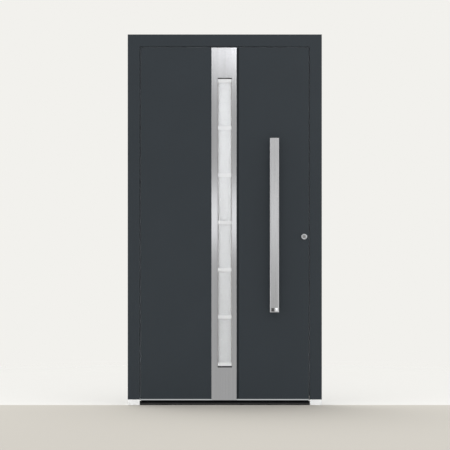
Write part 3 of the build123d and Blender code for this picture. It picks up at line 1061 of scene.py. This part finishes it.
@dataclass(frozen=True)
class GlazedSlot(SubAssembly):
    """Panes, spacers, frosted field, bright bands and the bead inside."""

    nodes: ClassVar[tuple[str, ...]] = (
        "glazing_gasket",
        "outer_pane",
        "middle_pane",
        "inner_pane",
        "glass_spacers",
        "frosted_field",
        "glass_bands",
        "glazing_bead",
    )
    soft_edges: ClassVar[dict[str, float]] = {
        "glass_bands": 0.0006,
        "glazing_bead": 0.0006,
    }


@dataclass(frozen=True)
class PullBar(SubAssembly):
    """Long pull bar on its standoffs, with a window and a bright plate in its foot.

    Attributes:
        lens: Near-black window that fills the foot's recess; its colour is painted shade of that
            recess.
        shade_lens_shift: Distance of the window from the bar's middle.
        plate: Bright polished plate; its colour is partly a painted highlight, over a real metal
            reflection.
        highlight_plate_shift: Distance of the plate from the bar's middle.
        face_setback: How far both lie behind the foot's face.
    """

    # The window's near-black colour is painted shade of the recess that it fills.
    lens: Inlay = Inlay(width=0.0158, height=0.0198, corner=0.0014, depth=0.0027, rim=0.0006)
    shade_lens_shift: float = -0.0100
    # The plate's bright colour is partly a painted highlight on the foot, over a real metal
    # reflection.
    plate: Inlay = Inlay(width=0.0138, height=0.0198, corner=0.0014, depth=0.0007, rim=0.0003)
    highlight_plate_shift: float = 0.0115
    face_setback: float = 0.0002

    nodes: ClassVar[tuple[str, ...]] = (
        "pull_bar",
        "pull_top_cap",
        "pull_foot",
        "pull_standoffs",
    )
    finishes: ClassVar[dict[str, Finish]] = {
        "pull_bar": PULL_STEEL,
        "pull_top_cap": PULL_STEEL,
        "pull_foot": PULL_STEEL,
    }
    soft_edges: ClassVar[dict[str, float]] = {
        "pull_bar": 0.0004,
        "pull_top_cap": 0.0006,
        "pull_foot": 0.0005,
        "pull_standoffs": 0.0006,
    }

    def add_hardware(self) -> None:
        """Let the window and the plate into the foot."""
        low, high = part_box("pull_foot")
        middle = (low + high) / 2
        face = low.y + self.face_setback
        # The window set into the foot's recess is painted shade.
        shade_lens_middle = Vector((middle.x + self.shade_lens_shift, face, middle.z))
        lens = self.lens.build("pull_foot_lens_painted_shade", shade_lens_middle)
        self.add(lens, Body.LEAF, "threshold_plastic", FOOT_LENS_PAINTED_SHADE)
        # The bright plate beside the window is partly a painted highlight.
        highlight_plate_middle = Vector((middle.x + self.highlight_plate_shift, face, middle.z))
        plate = self.plate.build("pull_foot_plate_painted_highlight", highlight_plate_middle)
        self.add(plate, Body.LEAF, "polished_steel", POLISHED_STEEL)


@dataclass(frozen=True)
class Lock(SubAssembly):
    """Cylinder with its roses, the lever inside, face plate and bolts.

    Attributes:
        screw: Screws that hold the face plate.
        screw_count: Number of those screws.
        screw_inset: Distance of the outer ones from the plate's ends.
    """

    screw: Screw = PLATE_SCREW
    screw_count: int = 6
    screw_inset: float = 0.014

    nodes: ClassVar[tuple[str, ...]] = (
        "lock_cylinder",
        "key_plug",
        "outer_rose",
        "inner_rose",
        "lever_rose",
        "inside_lever",
        "lock_faceplate",
        "lock_bolts",
    )
    finishes: ClassVar[dict[str, Finish]] = {"outer_rose": ROSE_STEEL}
    soft_edges: ClassVar[dict[str, float]] = {
        "outer_rose": 0.0006,
        "inner_rose": 0.0016,
        "lever_rose": 0.0016,
        "inside_lever": 0.0006,
        "lock_faceplate": 0.0003,
        "lock_bolts": 0.0006,
    }

    def add_hardware(self) -> None:
        """Screw the face plate to the lock stile."""
        low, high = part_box("lock_faceplate")
        first = low.z + self.screw_inset
        pitch = (high.z - self.screw_inset - first) / (self.screw_count - 1)
        turning = Turning("faceplate_screws")
        for step in range(self.screw_count):
            spot = (high.x, (low.y + high.y) / 2, first + step * pitch)
            self.screw.add_to(turning, spot, Facing.LOCK_SIDE)
        self.add(turning.finished(), Body.LEAF, "satin_steel", SATIN_STEEL)


@dataclass(frozen=True)
class Hinges(SubAssembly):
    """Three barrel hinges with their screws, slide washers and caps.

    Attributes:
        count: Number of hinges.
        height: Height of a hinge's wings.
        wing_thickness: Thickness of a wing.
        leaf_knuckle: Height of the leaf's knuckle.
        pin_head: Height of the pin's head above the top knuckle.
        barrel: Radius of the barrel.
        screw: Screws that hold the wings.
        screw_inset: Distance of the screws from a wing's outer edge.
        screw_rises: Heights of the screws about a hinge's middle.
        washer_hole: Inner radius of the washers.
        washer: Thickness of the washers.
        washer_rim: Radius of their rounded rims.
        washer_play: Distance of the washers from the leaf's knuckle.
        cap_height: Height of the domed caps.
        cap_steps: Rings in a dome.
    """

    count: int = 3
    height: float = 0.110
    wing_thickness: float = 0.005
    leaf_knuckle: float = 0.048
    pin_head: float = 0.004
    barrel: float = 0.010
    screw: Screw = WING_SCREW
    screw_inset: float = 0.015
    screw_rises: tuple[float, ...] = (-0.040, 0.0, 0.040)
    washer_hole: float = 0.0064
    washer: float = 0.0009
    washer_rim: float = 0.0003
    washer_play: float = 0.00005
    cap_height: float = 0.0025
    cap_steps: int = 6

    nodes: ClassVar[tuple[str, ...]] = (
        "hinge_frame_halves",
        "hinge_leaf_halves",
        "hinge_pins",
    )
    soft_edges: ClassVar[dict[str, float]] = {
        "hinge_frame_halves": 0.0003,
        "hinge_leaf_halves": 0.0003,
    }

    def middles(self) -> list[Vector]:
        """Work out where the hinges are.

        Returns:
            The middle of each hinge on its pin's axis.
        """
        low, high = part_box("hinge_frame_halves")
        first = low.z + self.height / 2
        pitch = (high.z - low.z - self.height) / (self.count - 1)
        pin_low, pin_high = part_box("hinge_pins")
        axis = (pin_low + pin_high) / 2
        return [Vector((axis.x, axis.y, first + step * pitch)) for step in range(self.count)]

    def add_screws(self) -> None:
        """Screw the frame halves to the jamb and the leaf halves to the leaf."""
        frame_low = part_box("hinge_frame_halves")[0]
        leaf_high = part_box("hinge_leaf_halves")[1]
        face = frame_low.y + self.wing_thickness
        halves = (
            ("hinge_frame_screws", Body.FRAME, frame_low.x + self.screw_inset),
            ("hinge_leaf_screws", Body.LEAF, leaf_high.x - self.screw_inset),
        )
        for name, body, x in halves:
            turning = Turning(name)
            for middle in self.middles():
                for rise in self.screw_rises:
                    self.screw.add_to(turning, (x, face, middle.z + rise), Facing.ROOM)
            self.add(turning.finished(), body, "satin_steel", SATIN_STEEL)

    def add_washers(self) -> None:
        """Lay a slide washer in each gap between the knuckles."""
        edge = self.barrel - self.washer_rim
        profile = (
            (self.washer_hole, 0.0),
            (edge, 0.0),
            (self.barrel, self.washer_rim),
            (self.barrel, self.washer - self.washer_rim),
            (edge, self.washer),
            (self.washer_hole, self.washer),
        )
        turning = Turning("hinge_washers")
        for middle in self.middles():
            for facing in (Facing.UP, Facing.DOWN):
                rise = Vector(facing.value) * (self.leaf_knuckle / 2 + self.washer_play)
                turning.move(middle + rise, facing)
                turning.turn(profile, closed=True)
        self.add(turning.finished(), Body.FRAME, "break_plastic", BREAK_PLASTIC)

    def add_caps(self) -> None:
        """Close each barrel with a domed cap above and below."""
        dome = []
        for angle in quarter_angles(self.cap_steps)[:-1]:
            dome.append((self.barrel * math.cos(angle), self.cap_height * math.sin(angle)))
        turning = Turning("hinge_caps")
        for middle in self.middles():
            for facing, head in ((Facing.UP, self.pin_head), (Facing.DOWN, 0.0)):
                rise = Vector(facing.value) * (self.height / 2 + head)
                turning.move(middle + rise, facing)
                rings = turning.turn(dome)
                turning.cap(rings[0])
                turning.cap(rings[-1])
        self.add(turning.finished(), Body.FRAME, "satin_steel", SATIN_STEEL)

    def add_hardware(self) -> None:
        """Add screws, washers and caps."""
        self.add_screws()
        self.add_washers()
        self.add_caps()


@dataclass(frozen=True)
class SoftBox:
    """Rectangular lamp with an even face.

    Attributes:
        name: Name of the lamp.
        place: Where its middle is.
        aim: Point that it faces.
        width: Its level side in metres.
        height: Its other side in metres.
        brightness: How bright its face is at full spread, where a white card is 1.
        spread: Angle in degrees into which all its light goes.
        reach: Whether it lights surfaces, shows in mirrors, or both.
    """

    name: str
    place: Point
    aim: Point
    width: float
    height: float
    brightness: float
    spread: float = 180.0
    reach: Reach = Reach.ALL

    def build(self) -> None:
        """Place the lamp, which the camera itself doesn't see."""
        light = bpy.data.lights.new(self.name, "AREA")
        light.shape = "RECTANGLE"
        light.size = self.width
        light.size_y = self.height
        light.energy = self.brightness * math.pi * self.width * self.height
        light.spread = math.radians(self.spread)
        lamp = bpy.data.objects.new(self.name, light)
        lamp.location = self.place
        direction = Vector(self.aim) - Vector(self.place)
        lamp.rotation_euler = direction.to_track_quat("-Z", "Y").to_euler()
        lamp.visible_camera = False
        lamp.visible_diffuse, lamp.visible_glossy = self.reach.value
        bpy.context.scene.collection.objects.link(lamp)
        log.info("lamp %s placed", self.name)


@dataclass(frozen=True)
class Studio:
    """Floor, pale surroundings, lamps and the straight view of the picture.

    Attributes:
        background: Colour of the pale surroundings.
        ambient: Brightness of the even light that comes from all round.
        floor_colour: Colour of the floor in front of the door.
        floor_back: Colour of the floor behind it, which shows as the background.
        floor_solid: Radius in metres within which the floor is solid.
        floor_end: Radius in metres at which it has faded away.
        floor_sides: Points round the floor's rim.
        floor_roughness: Roughness of the floor.
        sun_strength: Strength of the wide key light.
        sun_angle: Angle in degrees that the key light spans, for a soft shadow.
        sun_direction: Direction in which the key light travels.
        picture_width: Metres across the picture at the door's face.
        picture_middle: X and Z of the picture's middle at the door's face.
        camera_distance: Metres from the camera to the door's face.
        view_reach: Metres as far as which the camera sees.
        door_face: Depth of the door's face, where the two floor colours meet.
        sensor: Width of the camera's sensor in millimetres.
        lamps: Soft boxes round the door.
    """

    background: Colour = (0.888, 0.879, 0.847)
    ambient: float = 1.04
    floor_colour: Colour = (0.500, 0.478, 0.435)
    floor_back: Colour = (0.683, 0.676, 0.652)
    floor_solid: float = 3.2
    floor_end: float = 4.6
    floor_sides: int = 96
    floor_roughness: float = 0.9
    sun_strength: float = 0.95
    sun_angle: float = 40.0
    sun_direction: Point = (0.25, -0.42, -0.87)
    picture_width: float = 2.55
    picture_middle: tuple[float, float] = (0.0013, 1.020)
    camera_distance: float = 14.0
    view_reach: float = 100.0
    door_face: float = -0.040
    sensor: float = 36.0
    lamps: tuple[SoftBox, ...] = (
        SoftBox(
            "upper_card",
            place=(1.05, -4.0, 2.55),
            aim=(1.05, 0.0, 2.55),
            width=1.0,
            height=0.80,
            brightness=12.0,
            reach=Reach.MIRRORS,
        ),
        SoftBox(
            "middle_card",
            place=(0.0, -4.0, 1.08),
            aim=(0.0, 0.0, 1.08),
            width=4.0,
            height=0.40,
            brightness=1.25,
            reach=Reach.MIRRORS,
        ),
        SoftBox(
            "low_card",
            place=(0.0, -5.0, 0.25),
            aim=(0.0, 0.0, 0.25),
            width=4.0,
            height=0.5,
            brightness=0.23,
            spread=30.0,
            reach=Reach.SURFACES,
        ),
        SoftBox(
            "left_card",
            place=(-3.2, -0.7, 1.3),
            aim=(0.0, 0.0, 1.1),
            width=1.6,
            height=2.6,
            brightness=1.00,
        ),
        SoftBox(
            "right_card",
            place=(3.2, -0.7, 1.3),
            aim=(0.0, 0.0, 1.1),
            width=1.6,
            height=2.6,
            brightness=1.00,
        ),
        SoftBox(
            "room_card",
            place=(0.0, 2.4, 1.6),
            aim=(0.0, 0.0, 1.5),
            width=1.8,
            height=1.4,
            brightness=0.27,
            spread=70.0,
        ),
    )

    def build_world(self) -> None:
        """Give camera, mirror and glass rays the pale background, and all others even light."""
        world = bpy.data.worlds.new("pale_studio")
        world.use_nodes = True
        bpy.context.scene.world = world
        nodes = world.node_tree.nodes
        links = world.node_tree.links
        nodes.clear()
        seen = nodes.new("ShaderNodeBackground")
        seen.inputs["Color"].default_value = (*self.background, 1.0)
        even = nodes.new("ShaderNodeBackground")
        even.inputs["Color"].default_value = (1.0, 1.0, 1.0, 1.0)
        even.inputs["Strength"].default_value = self.ambient
        path = nodes.new("ShaderNodeLightPath")
        mirrored = nodes.new("ShaderNodeMath")
        mirrored.operation = "MAXIMUM"
        links.new(path.outputs["Is Camera Ray"], mirrored.inputs[0])
        links.new(path.outputs["Is Glossy Ray"], mirrored.inputs[1])
        shown = nodes.new("ShaderNodeMath")
        shown.operation = "MAXIMUM"
        links.new(mirrored.outputs["Value"], shown.inputs[0])
        links.new(path.outputs["Is Transmission Ray"], shown.inputs[1])
        mix = nodes.new("ShaderNodeMixShader")
        links.new(shown.outputs["Value"], mix.inputs["Fac"])
        links.new(even.outputs["Background"], mix.inputs[1])
        links.new(seen.outputs["Background"], mix.inputs[2])
        output = nodes.new("ShaderNodeOutputWorld")
        links.new(mix.outputs["Shader"], output.inputs["Surface"])

    def floor_material(self) -> bpy.types.Material:
        """Build the floor's finish: a warm front, a pale rest, faded at its rim.

        Returns:
            The floor's material.
        """
        shader = Shader("studio_floor")
        shader.set({"Roughness": self.floor_roughness, "Specular IOR Level": 0.0})
        split = shader.add("ShaderNodeSeparateXYZ")
        shader.join(shader.place, split.inputs["Vector"])
        behind = shader.add("ShaderNodeMath")
        behind.operation = "GREATER_THAN"
        behind.inputs[1].default_value = self.door_face
        shader.join(split.outputs["Y"], behind.inputs[0])
        tone = shader.tint(behind.outputs["Value"], self.floor_colour, self.floor_back)
        shader.drive("Base Color", tone)
        reach = shader.add("ShaderNodeVectorMath")
        reach.operation = "LENGTH"
        shader.join(shader.place, reach.inputs[0])
        rim = shader.add("ShaderNodeMapRange")
        rim.interpolation_type = "SMOOTHSTEP"
        rim.inputs["From Min"].default_value = self.floor_solid
        rim.inputs["From Max"].default_value = self.floor_end
        rim.inputs["To Min"].default_value = 1.0
        rim.inputs["To Max"].default_value = 0.0
        shader.join(reach.outputs["Value"], rim.inputs["Value"])
        shader.drive("Alpha", rim.outputs["Result"])
        return shader.material

    def build_floor(self) -> None:
        """Lay the floor as a flat disc under the door."""
        shape = bmesh.new()
        bmesh.ops.create_circle(
            shape, cap_ends=True, segments=self.floor_sides, radius=self.floor_end
        )
        mesh = bpy.data.meshes.new("studio_floor")
        shape.to_mesh(mesh)
        shape.free()
        floor = bpy.data.objects.new("studio_floor", mesh)
        bpy.context.scene.collection.objects.link(floor)
        mesh.materials.append(self.floor_material())
        floor.visible_glossy = False
        log.info("floor laid")

    def build_key_light(self) -> None:
        """Hang the wide key light high behind the door, so that a soft shadow falls in front."""
        light = bpy.data.lights.new("key_light", "SUN")
        light.energy = self.sun_strength
        light.angle = math.radians(self.sun_angle)
        lamp = bpy.data.objects.new("key_light", light)
        lamp.rotation_euler = Vector(self.sun_direction).to_track_quat("-Z", "Y").to_euler()
        bpy.context.scene.collection.objects.link(lamp)
        log.info("key light hung")

    def build_camera(self) -> None:
        """Set the camera level and square to the door, from far enough to look straight."""
        lens = bpy.data.cameras.new("straight_view")
        lens.sensor_width = self.sensor
        lens.lens = self.sensor * self.camera_distance / self.picture_width
        lens.clip_end = self.view_reach
        camera = bpy.data.objects.new("straight_view", lens)
        across, height = self.picture_middle
        camera.location = (across, self.door_face - self.camera_distance, height)
        camera.rotation_euler = (math.pi / 2, 0.0, 0.0)
        bpy.context.scene.collection.objects.link(camera)
        bpy.context.scene.camera = camera
        log.info("camera set")

    def build(self) -> None:
        """Build the whole studio."""
        bpy.context.scene.view_settings.view_transform = "Standard"
        self.build_world()
        self.build_floor()
        self.build_key_light()
        for lamp in self.lamps:
            lamp.build()
        self.build_camera()


def main() -> None:
    """Dress the door, build its small hardware and the studio."""
    logging.basicConfig(level=logging.INFO, format="%(name)s: %(message)s")
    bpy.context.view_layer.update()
    wardrobe = Wardrobe()
    for sub_assembly in (DoorFrame, Leaf, GlazedSlot, PullBar, Lock, Hinges):
        sub_assembly(wardrobe).build()
    Studio().build()


if __name__ == "__main__":
    main()
